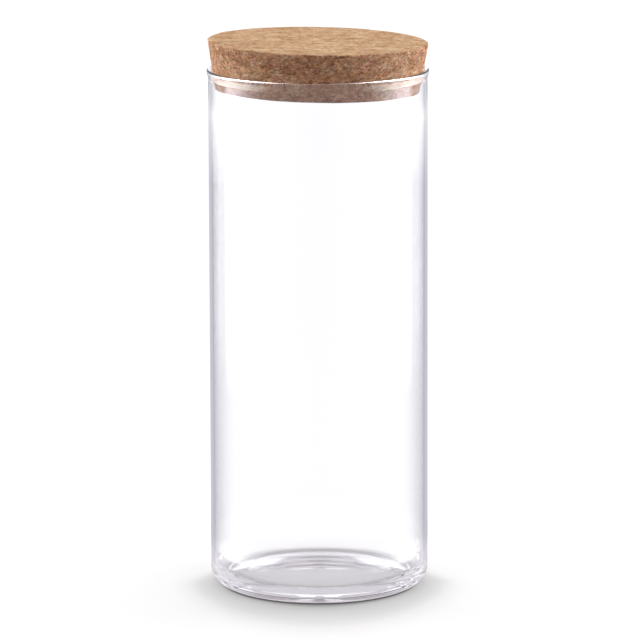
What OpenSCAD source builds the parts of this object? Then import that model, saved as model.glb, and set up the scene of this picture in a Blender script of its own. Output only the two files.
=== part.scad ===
// Tall storage jar made from glass tube, closed by a tapered stopper lid of pressed cork.
// Z is the axis of the jar, and the jar stands on z = 0. All sizes are in millimetres.

/* [Jar] */
// Outside diameter of the straight glass wall
jar_d = 100; // [70:1:140]
// Height of the jar, from the table to the top of its lip
jar_h = 240; // [90:1:300]
// Thickness of the tube wall
wall_t = 1.8; // [1.2:0.1:3.5]

/* [Lip] */
// How far the melted lip stands out beyond the wall
lip_out = 0.75; // [0.3:0.05:1.5]
// Radius of the hollow sweep that leads from the wall out to the lip
lip_sweep_r = 8; // [4:0.5:14]

/* [Base] */
// Radius of the outside heel, between wall and foot
heel_r = 9; // [5:0.5:10]
// Width of the flat ring that the jar stands on
foot_w = 1.5; // [1:0.5:6]
// Radius of the inside corner, between wall and floor
floor_corner_r = 7; // [5:0.5:9]
// Thickness of the glass floor at its centre
floor_t = 2.7; // [2.5:0.1:6]
// How far the underside is pushed up at its centre
punt_h = 3.6; // [0.5:0.1:5]
// How far the floor swells up at its centre, inside the jar
floor_swell = 0.8; // [0.3:0.1:1.5]

/* [Lid] */
// How far the lid stands above the lip
lid_proud = 12.5; // [6:0.5:25]
// How deep the lid reaches below the top of the lip
lid_plug = 9.5; // [6:0.5:20]
// Taper of the cork's side, in degrees from the axis
lid_taper = 9.5; // [3:0.5:14]
// Rounding of the lid's upper edge
lid_edge_r = 0.4; // [0.2:0.1:2]
// Rounding of the plug's lower edge
plug_edge_r = 1.2; // [0.3:0.1:3]
// Lean of the lid as a hand pushes it home, in degrees off square
lid_lean = 1.5; // [0:0.1:2]
// Side that the lid leans down to, in degrees from +X towards +Y
lid_lean_side = 33; // [0:1:359]
// Gap between cork and lip, all round the seat
seat_gap = 0.2; // [0.1:0.05:0.4]

/* [Hidden] */
$fn = 128;

jar_r = jar_d / 2;
bore_r = jar_r - wall_t;

// The lip is a bead as thick as the wall and its overhang together, so it runs on from the bore.
lip_r = (wall_t + lip_out) / 2;
lip_c = [jar_r + lip_out - lip_r, jar_h - lip_r];
// The sweep is tangent to the wall where it starts and to the bead where it ends.
sweep_reach = lip_sweep_r + lip_r;
sweep_x = jar_r + lip_sweep_r;
sweep_rise = sqrt(pow(sweep_reach, 2) - pow(sweep_x - lip_c.x, 2));
sweep_c = [sweep_x, lip_c.y - sweep_rise];
sweep_end = sweep_c + (lip_c - sweep_c) * lip_sweep_r / sweep_reach;

// The underside is a shallow dome inside the foot ring, and the floor swells over it.
foot_r = jar_r - heel_r - foot_w;
floor_r = bore_r - floor_corner_r;
floor_z = punt_h + floor_t - floor_swell;

// The cork's side runs past the bead at the seat gap, which sets the radius of the whole cone.
seat_r = lip_c.x - (lip_r + seat_gap) / cos(lid_taper);
lid_top_z = jar_h + lid_proud;
lid_bottom_z = jar_h - lid_plug;
lid_top_r = cone_r(lid_top_z);
lid_bottom_r = cone_r(lid_bottom_z);
// A leaning cone meets the round mouth off centre by this much, so the lid is set back by it.
lean_offset = seat_r * tan(lid_lean) * tan(lid_taper);

// Radius of the cork at a height, before it leans.
function cone_r(z) = seat_r + (z - lip_c.y) * tan(lid_taper);

// Radius of the circle that rises by h over a half width of w.
function dome_r(w, h) = (w * w + h * h) / (2 * h);

// A section of a shallow dome, flat side down on z, drawn on both sides of the axis.
module dome_section(w, h, z) {
    intersection() {
        translate([0, z + h - dome_r(w, h)]) circle(dome_r(w, h));
        translate([-w, z]) square([2 * w, h]);
    }
}

// Half section of a round bar of radius r that stands on z and reaches top, with its foot edge rounded.
module rounded_foot_section(r, edge_r, z, top) {
    translate([0, z]) square([r - edge_r, top - z]);
    translate([0, z + edge_r]) square([r, top - z - edge_r]);
    translate([r - edge_r, z + edge_r]) circle(edge_r);
}

// The bead of the lip and the sweep that carries it out from the wall.
module lip_section() {
    translate(lip_c) circle(lip_r);
    difference() {
        polygon([[bore_r, sweep_c.y], [jar_r, sweep_c.y], sweep_end, lip_c, [bore_r, lip_c.y]]);
        translate(sweep_c) circle(lip_sweep_r);
    }
}

// The space for food: straight bore, rounded corner and gently swelling floor.
module bore_section() {
    difference() {
        rounded_foot_section(bore_r, floor_corner_r, floor_z, lip_c.y);
        dome_section(floor_r, floor_swell, floor_z);
    }
    translate([0, lip_c.y]) square([lip_c.x, lip_r]);
}

// Half section of the whole jar, from the axis out.
module jar_section() {
    intersection() {
        square([jar_d, jar_h]);
        union() {
            difference() {
                rounded_foot_section(jar_r, heel_r, 0, sweep_c.y);
                dome_section(foot_r, punt_h, 0);
                bore_section();
            }
            lip_section();
        }
    }
}

// One piece of clear glass, made by turning its section.
module glass_jar() {
    color("lightcyan", 0.4) rotate_extrude() jar_section();
}

// Half section of the lid, with both edges rounded tangent to the taper.
module lid_section() {
    top_t = lid_edge_r / tan(45 - lid_taper / 2);
    bottom_t = plug_edge_r / tan(45 + lid_taper / 2);
    along = [sin(lid_taper), cos(lid_taper)];
    top_corner = [lid_top_r, lid_top_z];
    bottom_corner = [lid_bottom_r, lid_bottom_z];
    polygon([
        [0, lid_bottom_z], bottom_corner - [bottom_t, 0], bottom_corner + bottom_t * along,
        top_corner - top_t * along, top_corner - [top_t, 0], [0, lid_top_z]
    ]);
    translate(top_corner - [top_t, lid_edge_r]) circle(lid_edge_r);
    translate(bottom_corner - [bottom_t, -plug_edge_r]) circle(plug_edge_r);
}

// One piece of pressed cork, turned to a cone and pushed into the mouth a little off square.
module cork_lid() {
    seat_z = lip_c.y;
    color("burlywood")
    rotate([0, 0, lid_lean_side])
    translate([-lean_offset, 0, seat_z])
    rotate([0, lid_lean, 0])
    translate([0, 0, -seat_z])
    rotate_extrude() lid_section();
}

glass_jar();
cork_lid();
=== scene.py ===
"""Tall glass storage jar with a pressed cork lid: the looks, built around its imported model.

Everything is in the model's own frame. Sizes are written in millimetres and turned to metres
where a mesh is made. The lamps are placed in metres.
"""
import logging
import math
from dataclasses import dataclass, field
from enum import Enum
from typing import Iterable

import bpy
from mathutils import Euler, Matrix, Vector


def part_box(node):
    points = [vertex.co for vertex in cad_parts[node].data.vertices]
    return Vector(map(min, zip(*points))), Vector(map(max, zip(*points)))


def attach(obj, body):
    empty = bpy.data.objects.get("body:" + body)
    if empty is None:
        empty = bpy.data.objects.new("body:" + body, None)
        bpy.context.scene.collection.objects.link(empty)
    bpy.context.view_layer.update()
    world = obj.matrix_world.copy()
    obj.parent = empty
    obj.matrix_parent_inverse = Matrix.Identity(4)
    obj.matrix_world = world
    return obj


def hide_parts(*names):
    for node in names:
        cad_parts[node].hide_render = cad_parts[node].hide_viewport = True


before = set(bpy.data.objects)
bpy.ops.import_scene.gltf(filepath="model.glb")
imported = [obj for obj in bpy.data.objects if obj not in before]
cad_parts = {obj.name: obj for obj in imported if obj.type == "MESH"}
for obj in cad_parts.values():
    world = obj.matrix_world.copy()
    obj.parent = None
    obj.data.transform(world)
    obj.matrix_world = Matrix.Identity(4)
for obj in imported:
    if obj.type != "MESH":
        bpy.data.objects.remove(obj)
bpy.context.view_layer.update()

MM = 0.001
# How often a ray may turn inside the glass before it is given up.
LIGHT_TURNS = 32

Point = tuple[float, float]
Rgba = tuple[float, float, float, float]
Tree = bpy.types.NodeTree
Socket = bpy.types.NodeSocket

log = logging.getLogger("cork_lid_jar")


class Body(str, Enum):
    """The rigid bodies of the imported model."""

    JAR = "jar"
    LID = "lid"


class Slot(str, Enum):
    """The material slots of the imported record."""

    GLASS = "clear_glass"
    CORK = "pressed_cork"


def srgb(code: str, alpha: float = 1.0) -> Rgba:
    """Turn an sRGB hex colour into the linear colour that a shader takes.

    Args:
        code: six hex digits, such as "c8a27a".
        alpha: the fourth value.

    Returns:
        Linear red, green and blue, with alpha.
    """
    channels = [int(code[i:i + 2], 16) / 255 for i in (0, 2, 4)]
    linear = [c / 12.92 if c <= 0.04045 else ((c + 0.055) / 1.055) ** 2.4 for c in channels]
    return (*linear, alpha)


def plain(level: float) -> Rgba:
    """Return a neutral grey of the given linear level."""
    return (level, level, level, 1.0)


def add_node(tree: Tree, kind: str, inputs: dict[str | int, object] | None = None,
             stops: Iterable[tuple[float, Rgba]] = (), **settings: object) -> bpy.types.Node:
    """Add a node, give it its settings, and fill or link its inputs.

    Args:
        tree: the node tree that takes it.
        kind: Blender's name for the kind of node.
        inputs: a value or an output socket for each input, by name or number.
        stops: on a colour ramp, a position and a linear colour for each stop, in rising order.
        **settings: the node's own properties.

    Returns:
        The new node.
    """
    node = tree.nodes.new(kind)
    for name, value in settings.items():
        setattr(node, name, value)
    for name, value in (inputs or {}).items():
        if isinstance(value, bpy.types.NodeSocket):
            tree.links.new(value, node.inputs[name])
        else:
            node.inputs[name].default_value = value
    for place, (position, colour) in enumerate(stops):
        elements = node.color_ramp.elements
        element = elements[place] if place < len(elements) else elements.new(position)
        element.position = position
        element.color = colour
    return node


def bare_material(name: str) -> bpy.types.Material:
    """Make a material with an empty node tree.

    Args:
        name: what the real material is and how its surface was made.

    Returns:
        The material.
    """
    mat = bpy.data.materials.new(name)
    mat.use_nodes = True
    mat.node_tree.nodes.clear()
    return mat


def arc(centre: Point, radius: float, start: float, end: float, steps: int) -> list[Point]:
    """List points along an arc of a half section.

    Args:
        centre: the arc's centre, as distance from the axis and height.
        radius: the arc's radius.
        start: where it starts, in degrees from straight out, turning up.
        end: where it ends, in the same degrees.
        steps: how many lengths it is cut into.

    Returns:
        The points, both ends included.
    """
    turns = [math.radians(start + (end - start) * i / steps) for i in range(steps + 1)]
    return [(centre[0] + radius * math.cos(t), centre[1] + radius * math.sin(t)) for t in turns]


def deselect_all() -> None:
    """Leave nothing selected, so that an operator reaches only what is new."""
    if bpy.context.object and bpy.context.object.mode != "OBJECT":
        bpy.ops.object.mode_set(mode="OBJECT")
    bpy.ops.object.select_all(action="DESELECT")


def settle(piece: bpy.types.Object, name: str, body: Body, node: str) -> bpy.types.Object:
    """Name a finished piece, leave its place in its mesh, and hang it on its body.

    Args:
        piece: the finished mesh object.
        name: the piece's name.
        body: the body that it rides on.
        node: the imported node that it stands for.

    Returns:
        The same piece.
    """
    bpy.ops.object.transform_apply(location=True, rotation=True, scale=True)
    piece.name = piece.data.name = name
    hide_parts(node)
    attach(piece, body.value)
    log.info("%s: %d faces, rides on %s", name, len(piece.data.polygons), body.value)
    return piece


@dataclass(frozen=True)
class DrawnGlass:
    """Borosilicate glass drawn to tube and melted shut, with its surface as the fire left it."""

    ior: float = 1.473
    tint: str = "fdfdfe"
    # The share of a lamp's light that each surface of the glass turns back when it meets it squarely.
    face_on_loss: float = 0.036
    # How steeply that share rises towards a grazing meeting.
    graze_power: float = 5.0

    def material(self) -> bpy.types.Material:
        """Build the glass: nearly colourless and mirror-smooth, so the eye finds it by its edges."""
        mat = bare_material("borosilicate_glass_drawn_and_fire_polished")
        tree = mat.node_tree
        glass = add_node(tree, "ShaderNodeBsdfPrincipled", {
            "Base Color": srgb(self.tint), "Roughness": 0.0, "IOR": self.ior, "Transmission Weight": 1.0})
        # Lamplight goes through as through a thin wall: nearly whole where it meets the wall squarely.
        facing = add_node(tree, "ShaderNodeLayerWeight", {"Blend": 0.5}).outputs["Facing"]
        graze = add_node(tree, "ShaderNodeMath", {
            0: facing, 1: self.graze_power}, operation="POWER").outputs[0]
        passed = add_node(tree, "ShaderNodeMapRange", {
            "Value": graze, "To Min": 1 - self.face_on_loss, "To Max": 0.0}).outputs[0]
        through = add_node(tree, "ShaderNodeBsdfTransparent", {"Color": passed})
        path = add_node(tree, "ShaderNodeLightPath")
        lamps = add_node(tree, "ShaderNodeMixShader", {
            0: path.outputs["Is Shadow Ray"], 1: glass.outputs[0], 2: through.outputs[0]})
        soft = add_node(tree, "ShaderNodeMixShader", {
            0: path.outputs["Is Diffuse Ray"], 1: lamps.outputs[0], 2: through.outputs[0]})
        add_node(tree, "ShaderNodeOutputMaterial", {"Surface": soft.outputs[0]})
        return mat


@dataclass(frozen=True)
class PressedCork:
    """Cork granules pressed with a binder, turned and sanded: dry, matt, and speckled with bark."""

    # The widths that the eye tells apart, from the granules down to the grain of the cut cells.
    granule_mm: float = 4.5
    bark_mm: float = 1.6
    crumb_mm: float = 1.5
    grit_mm: float = 1.15
    grain_mm: float = 0.8
    # The press flattens every granule, so that it is this much wider than it is high.
    squash: float = 1.6
    # Outlines wander by up to half of the first, in waves as wide as the second.
    wander_mm: float = 3.0
    wave_mm: float = 1.4
    # Seams come and go in patches of this width.
    patch_mm: float = 6.0
    # The cork is rough above the seat, and smoother once it is this far below.
    seat_mm: float = 239.5
    fade_mm: float = 1.25
    # Depth of the pits and the nap.
    relief_mm: float = 0.45
    # How strongly the grit shows: on the sanded faces, on the turned side, and below the seat.
    grit_sanded: float = 0.15
    grit_turned: float = 0.62
    grit_squeezed: float = 0.3
    # How strongly a seam shows on the sanded faces and on the turned side.
    seam_sanded: float = 0.35
    seam_turned: float = 0.6
    # The share of cells that hold no chip of bark, on the sanded faces and on the turned side.
    clean_sanded: float = 0.93
    clean_turned: float = 0.8
    # The turned side is rosier than the sanded faces. It is also painted lighter: painted light, which also
    # makes up for the grit that darkens it.
    side_tint_and_painted_light: Rgba = (1.24, 1.15, 1.22, 1.0)

    def material(self) -> bpy.types.Material:
        """Build the cork: granules of several tans, thin torn seams, grit, and dark crumbs of bark."""
        mat = bare_material("agglomerated_cork_turned_and_sanded")
        tree = mat.node_tree
        side = self.turned_side(tree)
        there, place = self.torn(tree)
        body = self.granules(tree, there, place)
        # The turned side gets a rosier tint, and painted light that makes it lighter than the sanded faces.
        side_rosier_and_painted_lighter = add_node(tree, "ShaderNodeMix", {
            0: 1.0, "A": body, "B": self.side_tint_and_painted_light}, data_type="RGBA", blend_type="MULTIPLY")
        base = add_node(tree, "ShaderNodeMix", {
            0: side, "A": body, "B": side_rosier_and_painted_lighter.outputs["Result"]}, data_type="RGBA").outputs["Result"]
        base = self.grit(tree, base, place, side)
        seam = self.seams(tree, there, side)
        dark = self.bark(tree, there, side)
        lined = add_node(tree, "ShaderNodeMix", {
            0: seam, "A": base, "B": srgb("7d5338")}, data_type="RGBA").outputs["Result"]
        colour = add_node(tree, "ShaderNodeMix", {
            0: dark, "A": lined, "B": srgb("5e3624")}, data_type="RGBA").outputs["Result"]
        cork = add_node(tree, "ShaderNodeBsdfPrincipled", {
            "Base Color": colour, "Roughness": 0.85, "Normal": self.nap(tree, place, seam, dark),
            "Specular IOR Level": 0.08})
        add_node(tree, "ShaderNodeOutputMaterial", {"Surface": cork.outputs[0]})
        return mat

    @staticmethod
    def turned_side(tree: Tree) -> Socket:
        """Return 1 on the turned side and 0 on the sanded top and bottom."""
        normal = add_node(tree, "ShaderNodeSeparateXYZ", {
            0: add_node(tree, "ShaderNodeNewGeometry").outputs["Normal"]}).outputs[2]
        level = add_node(tree, "ShaderNodeMath", {0: normal}, operation="ABSOLUTE").outputs[0]
        return add_node(tree, "ShaderNodeMapRange", {
            "Value": level, "From Min": 0.5, "From Max": 0.9, "To Min": 1.0, "To Max": 0.0}).outputs[0]

    def torn(self, tree: Tree) -> tuple[Socket, Socket]:
        """Place the pattern on the piece.

        Args:
            tree: the material's nodes.

        Returns:
            The place with outlines that wander, and the plain place.
        """
        place = add_node(tree, "ShaderNodeMapping", {
            "Vector": add_node(tree, "ShaderNodeTexCoord").outputs["Object"],
            "Scale": (1.0, 1.0, self.squash)}).outputs[0]
        # Granules are torn scraps, so their outlines wander by a fraction of their width.
        wander = add_node(tree, "ShaderNodeTexNoise", {
            "Vector": place, "Scale": 1 / (self.wave_mm * MM), "Detail": 3.0})
        moved = add_node(tree, "ShaderNodeVectorMath", {
            0: wander.outputs["Color"], 1: (0.5, 0.5, 0.5)}, operation="SUBTRACT")
        spread = add_node(tree, "ShaderNodeVectorMath", {
            0: moved.outputs[0], "Scale": self.wander_mm * MM}, operation="SCALE")
        there = add_node(tree, "ShaderNodeVectorMath", {0: place, 1: spread.outputs[0]}, operation="ADD")
        return there.outputs[0], place

    def granules(self, tree: Tree, there: Socket, place: Socket) -> Socket:
        """Colour the granules, the crumbs between them and the grain of the cut cells.

        Args:
            tree: the material's nodes.
            there: the place with outlines that wander.
            place: the plain place.

        Returns:
            The colour.
        """
        granule = add_node(tree, "ShaderNodeTexVoronoi", {
            "Vector": there, "Scale": 1 / (self.granule_mm * MM)})
        crumb = add_node(tree, "ShaderNodeTexVoronoi", {
            "Vector": there, "Scale": 1 / (self.crumb_mm * MM)})
        big = add_node(tree, "ShaderNodeSeparateColor", {0: granule.outputs["Color"]}).outputs[0]
        small = add_node(tree, "ShaderNodeSeparateColor", {0: crumb.outputs["Color"]}).outputs[1]
        grain = add_node(tree, "ShaderNodeTexNoise", {
            "Vector": place, "Scale": 1 / (self.grain_mm * MM), "Detail": 4.0, "Roughness": 0.75}).outputs[0]
        large = add_node(tree, "ShaderNodeValToRGB", {0: big}, stops=[
            (0.0, srgb("bf8c66")), (0.18, srgb("cba078")), (0.36, srgb("d9b184")), (0.52, srgb("d8a98a")),
            (0.7, srgb("ddb690")), (0.86, srgb("e6c498")), (1.0, srgb("ecd2ac"))])
        fine = add_node(tree, "ShaderNodeValToRGB", {0: small}, stops=[
            (0.0, srgb("96633f")), (0.14, srgb("c08f66")), (0.5, srgb("d6b088")), (0.85, srgb("e4c6a0")),
            (1.0, srgb("fae8cc"))])
        body = add_node(tree, "ShaderNodeMix", {
            0: 0.4, "A": large.outputs[0], "B": fine.outputs[0]}, data_type="RGBA").outputs["Result"]
        cells = add_node(tree, "ShaderNodeValToRGB", {0: grain}, stops=[
            (0.3, plain(0.62)), (0.45, plain(0.92)), (0.6, plain(1.0)), (0.72, plain(1.22))])
        return add_node(tree, "ShaderNodeMix", {
            0: 1.0, "A": body, "B": cells.outputs[0]},
            data_type="RGBA", blend_type="MULTIPLY").outputs["Result"]

    def grit(self, tree: Tree, body: Socket, place: Socket, side: Socket) -> Socket:
        """Break the colour into the light and dark grit that the turning tool tears up.

        Args:
            tree: the material's nodes.
            body: the colour so far.
            place: the plain place.
            side: 1 on the turned side, where the grit is plain to see.

        Returns:
            The colour with its grit.
        """
        cell = add_node(tree, "ShaderNodeTexVoronoi", {"Vector": place, "Scale": 1 / (self.grit_mm * MM)})
        chance = add_node(tree, "ShaderNodeSeparateColor", {0: cell.outputs["Color"]}).outputs[0]
        tone = add_node(tree, "ShaderNodeValToRGB", {0: chance}, stops=[
            (0.0, (0.36, 0.29, 0.25, 1.0)), (0.12, (0.58, 0.50, 0.45, 1.0)),
            (0.3, (0.86, 0.84, 0.82, 1.0)), (0.6, plain(1.0)), (0.8, (1.18, 1.16, 1.12, 1.0)),
            (0.93, (1.5, 1.46, 1.34, 1.0))])
        # Below the seat the glass squeezes the cork smooth, and it stays so when the lid is lifted.
        height = add_node(tree, "ShaderNodeSeparateXYZ", {0: place}).outputs[2]
        rough = add_node(tree, "ShaderNodeMapRange", {
            "Value": height, "From Min": (self.seat_mm - self.fade_mm) * self.squash * MM,
            "From Max": self.seat_mm * self.squash * MM,
            "To Min": self.grit_squeezed, "To Max": self.grit_turned}).outputs[0]
        strength = add_node(tree, "ShaderNodeMix", {0: side, 2: self.grit_sanded, 3: rough}).outputs[0]
        return add_node(tree, "ShaderNodeMix", {
            0: strength, "A": body, "B": tone.outputs[0]},
            data_type="RGBA", blend_type="MULTIPLY").outputs["Result"]

    def seams(self, tree: Tree, there: Socket, side: Socket) -> Socket:
        """Draw the torn seams: thin, broken lines round scraps half as wide as a granule.

        Args:
            tree: the material's nodes.
            there: the place with outlines that wander.
            side: 1 on the turned side.

        Returns:
            How much of the seam shows.
        """
        edge = add_node(tree, "ShaderNodeTexVoronoi", {
            "Vector": there, "Scale": 2 / (self.granule_mm * MM)}, feature="DISTANCE_TO_EDGE").outputs[0]
        line = add_node(tree, "ShaderNodeMapRange", {
            "Value": edge, "From Min": 0.0, "From Max": 0.10, "To Min": 1.0, "To Max": 0.0}).outputs[0]
        part = add_node(tree, "ShaderNodeTexNoise", {
            "Vector": there, "Scale": 1 / (self.patch_mm * MM), "Detail": 2.0}).outputs[0]
        shown = add_node(tree, "ShaderNodeMapRange", {
            "Value": part, "From Min": 0.45, "From Max": 0.6}).outputs[0]
        strength = add_node(tree, "ShaderNodeMapRange", {
            "Value": side, "To Min": self.seam_sanded, "To Max": self.seam_turned}).outputs[0]
        broken = add_node(tree, "ShaderNodeMath", {0: line, 1: shown}, operation="MULTIPLY").outputs[0]
        return add_node(tree, "ShaderNodeMath", {0: broken, 1: strength}, operation="MULTIPLY").outputs[0]

    def bark(self, tree: Tree, there: Socket, side: Socket) -> Socket:
        """Scatter crumbs of bark, which are dark and lie in small pits, mostly on the turned side.

        Args:
            tree: the material's nodes.
            there: the place with outlines that wander.
            side: 1 on the turned side.

        Returns:
            How much of the bark shows.
        """
        cell = add_node(tree, "ShaderNodeTexVoronoi", {"Vector": there, "Scale": 1 / (self.bark_mm * MM)})
        chip = add_node(tree, "ShaderNodeSeparateColor", {0: cell.outputs["Color"]}).outputs[2]
        clean = add_node(tree, "ShaderNodeMapRange", {
            "Value": side, "To Min": self.clean_sanded, "To Max": self.clean_turned}).outputs[0]
        found = add_node(tree, "ShaderNodeMath", {0: chip, 1: clean}, operation="GREATER_THAN").outputs[0]
        heart = add_node(tree, "ShaderNodeMapRange", {
            "Value": cell.outputs["Distance"], "From Min": 0.10, "From Max": 0.30,
            "To Min": 0.95, "To Max": 0.0}).outputs[0]
        return add_node(tree, "ShaderNodeMath", {0: found, 1: heart}, operation="MULTIPLY").outputs[0]

    def nap(self, tree: Tree, place: Socket, seam: Socket, dark: Socket) -> Socket:
        """Roughen the surface: cut cells leave a fine nap, and bark and seams lie deeper than the rest.

        Args:
            tree: the material's nodes.
            place: the plain place.
            seam: how much of a seam shows.
            dark: how much of the bark shows.

        Returns:
            The roughened normal.
        """
        nap = add_node(tree, "ShaderNodeTexNoise", {
            "Vector": place, "Scale": 1 / (self.grain_mm * MM), "Detail": 3.0, "Roughness": 0.7}).outputs[0]
        deep = add_node(tree, "ShaderNodeMath", {0: seam, 1: dark}, operation="ADD").outputs[0]
        relief = add_node(tree, "ShaderNodeMath", {
            0: deep, 1: -0.7, 2: nap}, operation="MULTIPLY_ADD").outputs[0]
        return add_node(tree, "ShaderNodeBump", {
            "Height": relief, "Strength": 1.0, "Distance": self.relief_mm * MM}).outputs[0]


@dataclass
class GlassJar:
    """The jar: one length of glass tube with a melted lip and a closed, rounded foot."""

    wall: float = 1.8
    lip_out: float = 0.75
    sweep_r: float = 8.0
    heel_r: float = 9.0
    foot_w: float = 1.5
    corner_r: float = 7.0
    floor_t: float = 2.7
    punt_h: float = 3.6
    swell: float = 0.8
    # How many lengths each stretch of the section is cut into, and how many steps the turn takes.
    dome_steps: int = 24
    heel_steps: int = 28
    wall_steps: int = 12
    sweep_steps: int = 12
    bead_steps: int = 36
    corner_steps: int = 24
    segments: int = 320
    # Points of the turned section that lie closer than this are one.
    weld: float = 0.002
    height: float = field(init=False)
    radius: float = field(init=False)

    def __post_init__(self) -> None:
        """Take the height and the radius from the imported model."""
        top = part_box("glass_jar")[1]
        self.height = top.z / MM
        self.radius = top.x / MM - self.lip_out

    @property
    def bore_r(self) -> float:
        """Inside radius of the straight wall."""
        return self.radius - self.wall

    @property
    def bead(self) -> tuple[float, Point]:
        """Radius and centre of the bead that makes the lip."""
        r = (self.wall + self.lip_out) / 2
        return r, (self.radius + self.lip_out - r, self.height - r)

    @staticmethod
    def dome(r: float, rim: float, rise: float) -> float:
        """Height of a shallow dome at a distance from the axis."""
        curve = (rim ** 2 + rise ** 2) / (2 * rise)
        return math.sqrt(curve ** 2 - r ** 2) - (curve - rise)

    def outside(self) -> list[Point]:
        """List the outer half section: out along the underside, up the wall and over the lip."""
        r, lip = self.bead
        reach = self.sweep_r + r
        sweep_x = self.radius + self.sweep_r
        sweep = (sweep_x, lip[1] - math.sqrt(reach ** 2 - (sweep_x - lip[0]) ** 2))
        tip = math.degrees(math.atan2(lip[1] - sweep[1], lip[0] - sweep[0]))
        foot_r = self.radius - self.heel_r - self.foot_w
        under = [foot_r * i / self.dome_steps for i in range(self.dome_steps + 1)]
        rise = [i / self.wall_steps for i in range(1, self.wall_steps)]
        return [
            *((x, self.dome(x, foot_r, self.punt_h)) for x in under),
            *arc((self.radius - self.heel_r, self.heel_r), self.heel_r, -90, 0, self.heel_steps),
            *((self.radius, self.heel_r + (sweep[1] - self.heel_r) * part) for part in rise),
            *arc(sweep, self.sweep_r, 180, tip, self.sweep_steps),
            *arc(lip, r, tip - 180, 180, self.bead_steps)[1:],
        ]

    def inside(self) -> list[Point]:
        """List the inner half section: down the bore, round the corner and in along the floor."""
        lip = self.bead[1]
        floor_r = self.bore_r - self.corner_r
        floor_z = self.punt_h + self.floor_t - self.swell
        corner_z = floor_z + self.corner_r
        drop = [i / self.wall_steps for i in range(1, self.wall_steps)]
        inward = [floor_r * i / self.dome_steps for i in range(self.dome_steps - 1, -1, -1)]
        return [
            *((self.bore_r, lip[1] + (corner_z - lip[1]) * part) for part in drop),
            *arc((floor_r, corner_z), self.corner_r, 0, -90, self.corner_steps),
            *((x, floor_z + self.dome(x, floor_r, self.swell)) for x in inward),
        ]

    def build(self, finish: DrawnGlass) -> bpy.types.Object:
        """Draw the half section as a line, spin it about the axis and dress it.

        Args:
            finish: the glass.

        Returns:
            The finished jar.
        """
        points = self.outside() + self.inside()
        deselect_all()
        bpy.ops.mesh.primitive_plane_add(size=MM, location=(points[0][0] * MM, 0, points[0][1] * MM))
        piece = bpy.context.object
        bpy.ops.object.transform_apply(location=True, rotation=True, scale=True)
        bpy.ops.object.mode_set(mode="EDIT")
        bpy.ops.mesh.merge(type="CENTER")
        for (r0, z0), (r1, z1) in zip(points, points[1:]):
            bpy.ops.mesh.extrude_region_move(
                TRANSFORM_OT_translate={"value": ((r1 - r0) * MM, 0, (z1 - z0) * MM)})
        bpy.ops.mesh.select_all(action="SELECT")
        bpy.ops.mesh.spin(steps=self.segments, angle=math.tau, center=(0, 0, 0), axis=(0, 0, 1))
        bpy.ops.mesh.select_all(action="SELECT")
        bpy.ops.mesh.remove_doubles(threshold=self.weld * MM)
        bpy.ops.mesh.normals_make_consistent(inside=False)
        bpy.ops.object.mode_set(mode="OBJECT")
        bpy.ops.object.shade_smooth()
        piece.data.materials.append(finish.material())
        return settle(piece, "drawn_glass_jar", Body.JAR, "glass_jar")


@dataclass
class CorkLid:
    """The lid: one tapered disc of pressed cork, pushed into the mouth a little off square."""

    proud: float = 12.5
    plug: float = 9.5
    taper: float = 9.5
    lean: float = 1.5
    lean_side: float = 33.0
    gap: float = 0.2
    grid: float = 0.55
    segments: int = 256

    def build(self, jar: GlassJar, finish: PressedCork) -> bpy.types.Object:
        """Make the tapered disc, lean it, cut its faces to an even grid and dress it.

        Args:
            jar: the jar that it closes.
            finish: the cork.

        Returns:
            The finished lid.
        """
        r, lip = jar.bead
        slope = math.tan(math.radians(self.taper))
        seat_r = lip[0] - (r + self.gap) / math.cos(math.radians(self.taper))
        bottom, top = jar.height - self.plug, jar.height + self.proud
        bottom_r, top_r = (seat_r + (z - lip[1]) * slope for z in (bottom, top))
        deselect_all()
        bpy.ops.mesh.primitive_cone_add(
            vertices=self.segments, radius1=bottom_r * MM, radius2=top_r * MM, depth=(top - bottom) * MM,
            end_fill_type="NGON", location=(0, 0, (top + bottom) / 2 * MM))
        piece = bpy.context.object
        bpy.ops.object.transform_apply(location=True, rotation=True, scale=True)
        # A leaning cone meets the round mouth off centre, so it is set back by as much.
        offset = seat_r * math.tan(math.radians(self.lean)) * slope * MM
        seat = Vector((0, 0, lip[1] * MM))
        piece.matrix_world = (
            Matrix.Rotation(math.radians(self.lean_side), 4, "Z") @ Matrix.Translation(seat)
            @ Matrix.Translation((-offset, 0, 0)) @ Matrix.Rotation(math.radians(self.lean), 4, "Y")
            @ Matrix.Translation(-seat))
        bpy.ops.object.transform_apply(location=True, rotation=True, scale=True)
        remesh = piece.modifiers.new("even_grid", "REMESH")
        remesh.mode = "VOXEL"
        remesh.voxel_size = self.grid * MM
        bpy.ops.object.modifier_apply(modifier=remesh.name)
        bpy.ops.object.shade_smooth()
        piece.data.materials.append(finish.material())
        return settle(piece, "pressed_cork_lid", Body.LID, "cork_lid")


@dataclass(frozen=True)
class Band:
    """One band of the mirrored room, as bright as its levels say from straight behind round to the front.

    The place round the jar runs from 0, straight behind, to 1, straight in front, alike on both sides.
    The top says between which two heights the next band takes over, as the rise of a ray of length 1.
    """

    top: Point
    levels: tuple[Point, ...]
    tint: tuple[float, float, float]

    def stops(self) -> list[tuple[float, Rgba]]:
        """List the band's levels as the stops of a colour ramp."""
        return [(place, (*(level * part for part in self.tint), 1.0)) for place, level in self.levels]


COOL = (0.975, 0.96, 1.08)
PALE = (1.0, 0.965, 1.035)
WHITE = (1.0, 1.0, 1.0)

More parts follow.
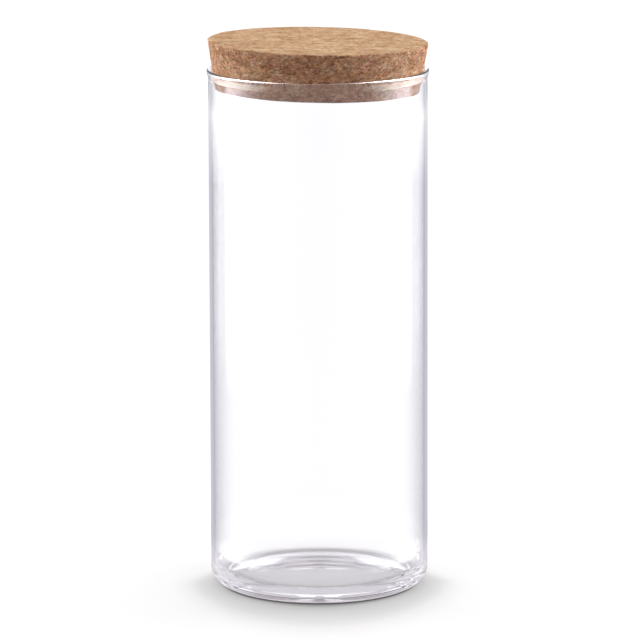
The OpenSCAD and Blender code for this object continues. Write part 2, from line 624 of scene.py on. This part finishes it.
# The room that the glass mirrors, in bands from the floor up.
ROOM = (
    # The far table, which only the neck mirrors.
    Band((-0.262, -0.238), (
        (0.0, 0.6), (0.1, 0.7), (0.16, 1.6), (0.22, 2.6), (0.3, 6.0), (0.38, 9.0), (0.48, 9.0), (0.58, 5.0),
        (0.7, 1.0), (1.0, 0.8)), WHITE),
    # The table by the jar, which the lower wall mirrors.
    Band((-0.205, -0.190), (
        (0.0, 0.62), (0.06, 0.62), (0.145, 0.55), (0.18, 0.42), (0.29, 0.40), (0.36, 0.8), (0.45, 0.95),
        (1.0, 0.75)), COOL),
    # The table's far end, with the feet of the side panels.
    Band((-0.168, -0.145), (
        (0.0, 0.62), (0.06, 0.62), (0.145, 0.55), (0.18, 0.42), (0.29, 0.40), (0.34, 0.7), (0.38, 4.5),
        (0.47, 5.0), (0.56, 2.6), (0.66, 0.9), (1.0, 0.7)), COOL),
    # The side panels.
    Band((-0.02, 0.08), (
        (0.0, 1.2), (0.02, 1.2), (0.03, 0.85), (0.12, 0.9), (0.2, 1.5), (0.32, 2.8), (0.38, 4.8),
        (0.46, 4.8), (0.58, 3.0), (0.68, 0.8), (1.0, 0.5)), WHITE),
    # The back wall, with a bright opening at each side of its middle.
    Band((0.213, 0.222), (
        (0.0, 0.62), (0.0085, 0.62), (0.0095, 3.0), (0.034, 3.0), (0.045, 0.6), (0.15, 0.6), (0.2, 1.1),
        (0.36, 1.2), (0.5, 1.0), (1.0, 0.8)), PALE),
    # The upper walls and the ceiling.
    Band((2.0, 3.0), (
        (0.0, 0.6), (0.15, 0.62), (0.2, 1.2), (0.36, 1.3), (0.5, 1.1), (0.65, 0.9), (1.0, 0.8)), PALE),
)


@dataclass(frozen=True)
class Panel:
    """One soft panel that faces the jar, in metres and watts, and that the jar doesn't mirror."""

    name: str
    place: Point
    height: float
    size: Point
    power: float
    target: float

    def hang(self) -> None:
        """Hang the panel and turn it to the jar's axis at its target height."""
        data = bpy.data.lights.new(self.name, "AREA")
        data.shape = "RECTANGLE"
        data.size, data.size_y = self.size
        data.energy = self.power
        lamp = bpy.data.objects.new(self.name, data)
        bpy.context.scene.collection.objects.link(lamp)
        lamp.location = (*self.place, self.height)
        aim = Vector((0, 0, self.target)) - lamp.location
        lamp.rotation_euler = aim.to_track_quat("-Z", "Y").to_euler()
        lamp.visible_camera = False
        lamp.visible_glossy = False
        lamp.visible_transmission = False


# One panel at each side, a little behind, and one overhead.
PANELS = (
    Panel("left_panel", place=(-0.80, 0.20), height=0.30, size=(0.5, 0.9), power=4.7, target=0.15),
    Panel("right_panel", place=(0.80, 0.20), height=0.30, size=(0.5, 0.9), power=5.9, target=0.15),
    Panel("top_panel", place=(0.0, 0.15), height=1.1, size=(1.0, 0.8), power=3.9, target=0.1),
)


@dataclass(frozen=True)
class Studio:
    """The plain pale stage: a white floor, an even white round it, and a room for the glass to mirror."""

    floor_mm: float = 1500.0
    # The card is plain white past the second of these, and shaded within the first, by painted shade as well
    # as by the lamps.
    shaded_mm: Point = (90.0, 200.0)
    # Where the painted shade starts, how far it runs, and the reach of the painted shade that shows through
    # the glass.
    contact_mm: float = 43.5
    shade_mm: float = 80.0
    ring_mm: float = 100.0
    # The level of what is seen straight or through glass, and of the card close by where it is mirrored.
    through: float = 1.08
    close: float = 0.68
    close_mm: float = 100.0
    # The card's own faint light, which lifts its shade.
    glow: float = 0.1
    # The fill that matt surfaces get from the side and from above.
    fill_side: Rgba = (0.66, 0.54, 0.52, 1.0)
    fill_above: Rgba = (0.36, 0.37, 0.38, 1.0)

    def floor(self) -> bpy.types.Object:
        """Lay the floor: white to the eye and through glass, with the jar's shadow partly cast and partly
        painted.
        """
        deselect_all()
        bpy.ops.mesh.primitive_circle_add(vertices=96, radius=self.floor_mm * MM, fill_type="NGON")
        floor = bpy.context.object
        floor.name = "studio_floor"
        floor.data.materials.append(self.card())
        return floor

    def card(self) -> bpy.types.Material:
        """Build the card of the floor: matt and even, with the jar's shade painted on it round the foot."""
        mat = bare_material("matt_white_card")
        tree = mat.node_tree
        path = add_node(tree, "ShaderNodeLightPath")
        place = add_node(tree, "ShaderNodeTexCoord").outputs["Object"]
        far = add_node(tree, "ShaderNodeVectorMath", {0: place}, operation="LENGTH").outputs["Value"]
        way = add_node(tree, "ShaderNodeSeparateXYZ", {
            0: add_node(tree, "ShaderNodeVectorMath", {0: place}, operation="NORMALIZE").outputs[0]})
        # Painted shade: the jar's shadow round the foot, put into the card's colour.
        painted_shade = add_node(tree, "ShaderNodeMix", {
            0: path.outputs["Is Camera Ray"], "A": self.shade_under(tree, far, way),
            "B": self.shade_around(tree, far, way)}, data_type="RGBA").outputs["Result"]
        paper = add_node(tree, "ShaderNodeBsdfDiffuse", {"Color": painted_shade})
        seen = self.seen(tree, path)
        glow = add_node(tree, "ShaderNodeMath", {0: seen, 1: self.glow}, operation="MULTIPLY").outputs[0]
        light = add_node(tree, "ShaderNodeEmission", {"Color": painted_shade, "Strength": glow})
        near = add_node(tree, "ShaderNodeAddShader", {0: paper.outputs[0], 1: light.outputs[0]})
        level = add_node(tree, "ShaderNodeMath", {0: seen, 1: self.through}, operation="MULTIPLY").outputs[0]
        white = add_node(tree, "ShaderNodeEmission", {"Strength": level})
        away = add_node(tree, "ShaderNodeMapRange", {
            "Value": far, "From Min": self.shaded_mm[0] * MM, "From Max": self.shaded_mm[1] * MM},
            interpolation_type="SMOOTHSTEP").outputs[0]
        whole = add_node(tree, "ShaderNodeMixShader", {0: away, 1: near.outputs[0], 2: white.outputs[0]})
        # In the glass, only the card close to the foot is mirrored. Past it the room's own bands are.
        clear = add_node(tree, "ShaderNodeBsdfTransparent")
        close = add_node(tree, "ShaderNodeEmission", {"Color": (*(self.close * part for part in PALE), 1.0)})
        beyond = add_node(tree, "ShaderNodeMath", {
            0: far, 1: self.close_mm * MM}, operation="GREATER_THAN").outputs[0]
        image = add_node(tree, "ShaderNodeMixShader", {0: beyond, 1: close.outputs[0], 2: clear.outputs[0]})
        card = add_node(tree, "ShaderNodeMixShader", {
            0: self.mirrored(tree, path), 1: whole.outputs[0], 2: image.outputs[0]})
        add_node(tree, "ShaderNodeOutputMaterial", {"Surface": card.outputs[0]})
        return mat

    def shade_around(self, tree: Tree, far: Socket, way: bpy.types.Node) -> Socket:
        """Paint shade on the card round the foot: short at the sides and behind, and long in front.

        Args:
            tree: the card's nodes.
            far: the distance from the axis.
            way: the direction from the axis, as x, y and z.

        Returns:
            The painted shade of the card.
        """
        aside = add_node(tree, "ShaderNodeMath", {0: way.outputs[0], 1: 2.0}, operation="POWER").outputs[0]
        spread = add_node(tree, "ShaderNodeMath", {
            0: aside, 1: 1.8, 2: 1.0}, operation="MULTIPLY_ADD").outputs[0]
        behind = add_node(tree, "ShaderNodeMath", {
            0: way.outputs[1], 1: 0.0}, operation="MAXIMUM").outputs[0]
        short = add_node(tree, "ShaderNodeMath", {
            0: behind, 1: 6.0, 2: spread}, operation="MULTIPLY_ADD").outputs[0]
        past = add_node(tree, "ShaderNodeMath", {
            0: far, 1: self.contact_mm * MM}, operation="SUBTRACT").outputs[0]
        reach = add_node(tree, "ShaderNodeMath", {0: past, 1: short}, operation="MULTIPLY").outputs[0]
        step = add_node(tree, "ShaderNodeMapRange", {
            "Value": reach, "From Min": 0.0, "From Max": self.shade_mm * MM}).outputs[0]
        return add_node(tree, "ShaderNodeValToRGB", {0: step}, stops=[
            (0.0, plain(0.12)), (0.012, plain(0.2)), (0.04, plain(0.5)), (0.09, plain(0.68)),
            (0.3, plain(0.76)), (0.4, plain(0.80)), (0.6, plain(0.93)), (0.85, plain(1.0))]).outputs[0]

    def shade_under(self, tree: Tree, far: Socket, way: bpy.types.Node) -> Socket:
        """Paint shade on the card as it shows through the glass: dark along the foot ring and in front of
        it.

        Args:
            tree: the card's nodes.
            far: the distance from the axis.
            way: the direction from the axis, as x, y and z.

        Returns:
            The painted shade of the card.
        """
        ring = add_node(tree, "ShaderNodeMapRange", {
            "Value": far, "From Min": 0.0, "From Max": self.ring_mm * MM}).outputs[0]
        under = add_node(tree, "ShaderNodeValToRGB", {0: ring}, stops=[
            (0.0, plain(0.9)), (0.34, plain(0.85)), (0.40, plain(0.5)), (0.46, plain(0.6)),
            (0.50, plain(0.85)), (0.54, plain(1.0))])
        # In front of the foot the card is painted with the jar's shade.
        ahead = add_node(tree, "ShaderNodeMapRange", {
            "Value": way.outputs[1], "From Min": 0.0, "From Max": -0.6})
        painted_front_shade = add_node(tree, "ShaderNodeValToRGB", {0: ring}, stops=[
            (0.0, plain(1.0)), (0.395, plain(1.0)), (0.42, plain(0.45)), (0.65, plain(0.5)),
            (0.9, plain(1.0))])
        front = add_node(tree, "ShaderNodeMath", {
            0: painted_front_shade.outputs[0], 1: under.outputs[0]}, operation="MINIMUM")
        return add_node(tree, "ShaderNodeMix", {
            0: ahead.outputs[0], "A": under.outputs[0], "B": front.outputs[0]},
            data_type="RGBA").outputs["Result"]

    @staticmethod
    def seen(tree: Tree, path: bpy.types.Node) -> Socket:
        """Return 1 for rays that the eye follows, straight or through glass or off a gloss."""
        first = add_node(tree, "ShaderNodeMath", {
            0: path.outputs["Is Camera Ray"], 1: path.outputs["Is Transmission Ray"]}, operation="MAXIMUM")
        return add_node(tree, "ShaderNodeMath", {
            0: first.outputs[0], 1: path.outputs["Is Glossy Ray"]}, operation="MAXIMUM").outputs[0]

    @staticmethod
    def mirrored(tree: Tree, path: bpy.types.Node) -> Socket:
        """Return 1 for rays that have been mirrored on their way."""
        return add_node(tree, "ShaderNodeMath", {
            0: path.outputs["Glossy Depth"], 1: 0.5}, operation="GREATER_THAN").outputs[0]

    def sky(self) -> None:
        """Set the world: white where it is looked at, the room's bands where mirrored, and a soft fill."""
        world = bpy.data.worlds.new("white_studio")
        bpy.context.scene.world = world
        world.use_nodes = True
        tree = world.node_tree
        tree.nodes.clear()
        path = add_node(tree, "ShaderNodeLightPath")
        axis = add_node(tree, "ShaderNodeSeparateXYZ", {
            0: add_node(tree, "ShaderNodeTexCoord").outputs["Generated"]})
        sight = add_node(tree, "ShaderNodeMix", {
            0: self.mirrored(tree, path), "A": plain(self.through), "B": self.bands(tree, axis)},
            data_type="RGBA")
        above = add_node(tree, "ShaderNodeMapRange", {
            "Value": axis.outputs[2], "From Min": 0.2, "From Max": 0.6}).outputs[0]
        soft = add_node(tree, "ShaderNodeMix", {
            0: above, "A": self.fill_side, "B": self.fill_above}, data_type="RGBA")
        fill = add_node(tree, "ShaderNodeMix", {
            0: self.seen(tree, path), "A": soft.outputs["Result"], "B": sight.outputs["Result"]},
            data_type="RGBA")
        back = add_node(tree, "ShaderNodeBackground", {"Color": fill.outputs["Result"], "Strength": 1.0})
        add_node(tree, "ShaderNodeOutputWorld", {"Surface": back.outputs[0]})

    @staticmethod
    def bands(tree: Tree, axis: bpy.types.Node) -> Socket:
        """Lay the room's bands over each other, from the floor up.

        Args:
            tree: the world's nodes.
            axis: the ray's direction, as x, y and z.

        Returns:
            The colour of the room in that direction.
        """
        side = add_node(tree, "ShaderNodeMath", {0: axis.outputs[0]}, operation="ABSOLUTE").outputs[0]
        turn = add_node(tree, "ShaderNodeMath", {
            0: side, 1: axis.outputs[1]}, operation="ARCTAN2").outputs[0]
        share = add_node(tree, "ShaderNodeMath", {0: turn, 1: math.pi}, operation="DIVIDE").outputs[0]
        room = add_node(tree, "ShaderNodeValToRGB", {0: share}, stops=ROOM[0].stops()).outputs[0]
        for below, band in zip(ROOM, ROOM[1:]):
            ring = add_node(tree, "ShaderNodeValToRGB", {0: share}, stops=band.stops()).outputs[0]
            over = add_node(tree, "ShaderNodeMapRange", {
                "Value": axis.outputs[2], "From Min": below.top[0], "From Max": below.top[1]}).outputs[0]
            room = add_node(tree, "ShaderNodeMix", {
                0: over, "A": room, "B": ring}, data_type="RGBA").outputs["Result"]
        return room


@dataclass(frozen=True)
class Eye:
    """The camera, at the photograph's viewing angle: a long lens that looks a little down on the lid."""

    distance: float = 2532.2
    height: float = 618.5
    pitch: float = 11.068
    roll: float = -0.187
    focal_px: float = 5624.0
    axis_px: float = 318.64
    frame_px: float = 640.0
    sensor_mm: float = 36.0
    clip_m: Point = (0.05, 50.0)

    def place(self) -> None:
        """Create the camera and make it the scene's."""
        data = bpy.data.cameras.new("eye")
        data.sensor_width = self.sensor_mm
        data.lens = self.focal_px * self.sensor_mm / self.frame_px
        data.clip_start, data.clip_end = self.clip_m
        eye = bpy.data.objects.new("eye", data)
        bpy.context.scene.collection.objects.link(eye)
        yaw = math.atan((self.frame_px / 2 - self.axis_px) / self.focal_px)
        aim = Euler((math.radians(90 - self.pitch), 0, -yaw)).to_matrix()
        eye.rotation_euler = (aim @ Matrix.Rotation(math.radians(self.roll), 3, "Z")).to_euler()
        eye.location = (0, -self.distance * MM, self.height * MM)
        bpy.context.scene.camera = eye


def let_light_run() -> None:
    """Let a ray turn often enough inside the thick foot and the lip to find its way out."""
    cycles = bpy.context.scene.cycles
    cycles.max_bounces = cycles.glossy_bounces = cycles.transmission_bounces = LIGHT_TURNS
    cycles.transparent_max_bounces = LIGHT_TURNS


def main() -> None:
    """Build the stage and both pieces, in order."""
    logging.basicConfig(level=logging.INFO, format="%(message)s")
    bpy.context.scene.view_settings.view_transform = "Standard"
    Eye().place()
    let_light_run()
    studio = Studio()
    studio.floor()
    studio.sky()
    for panel in PANELS:
        panel.hang()
    jar = GlassJar()
    jar.build(DrawnGlass())
    CorkLid().build(jar, PressedCork())


if __name__ == "__main__":
    main()
